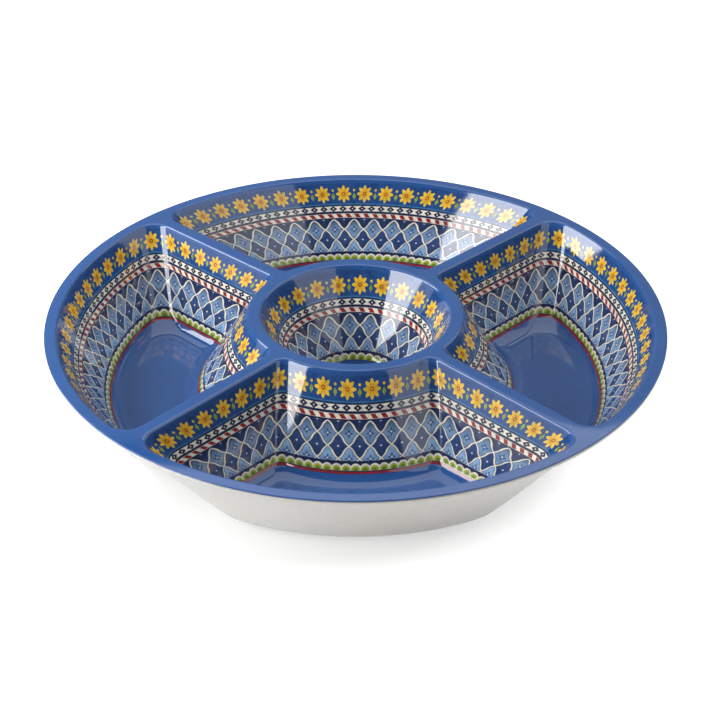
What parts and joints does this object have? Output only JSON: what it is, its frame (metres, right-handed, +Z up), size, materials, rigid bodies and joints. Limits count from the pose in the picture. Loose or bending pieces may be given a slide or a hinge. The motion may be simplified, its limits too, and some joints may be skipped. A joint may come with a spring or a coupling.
{
  "type": "chip and dip bowl",
  "caption": "Round divided serving bowl with sector compartments around a central dip well, a blue glossy inside with printed walls and a plain white outside.",
  "frame": {"origin": "centre of the bottom face that the bowl stands on", "axes": "+Z up through the dip well, -Y towards the front compartment, +X towards the right compartment"},
  "size_m": [0.381, 0.381, 0.0598],
  "materials": {
    "shell_white": "satin gloss white melamine",
    "liner_blue": "high gloss cobalt blue melamine",
    "printed_foil": "high gloss printed overlay"
  },
  "bodies": {
    "root": {"outer_shell": "shell_white", "inner_liner": "liner_blue", "front_foil": "printed_foil", "right_foil": "printed_foil", "back_foil": "printed_foil", "left_foil": "printed_foil", "dip_foil": "printed_foil"}
  },
  "joints": []
}
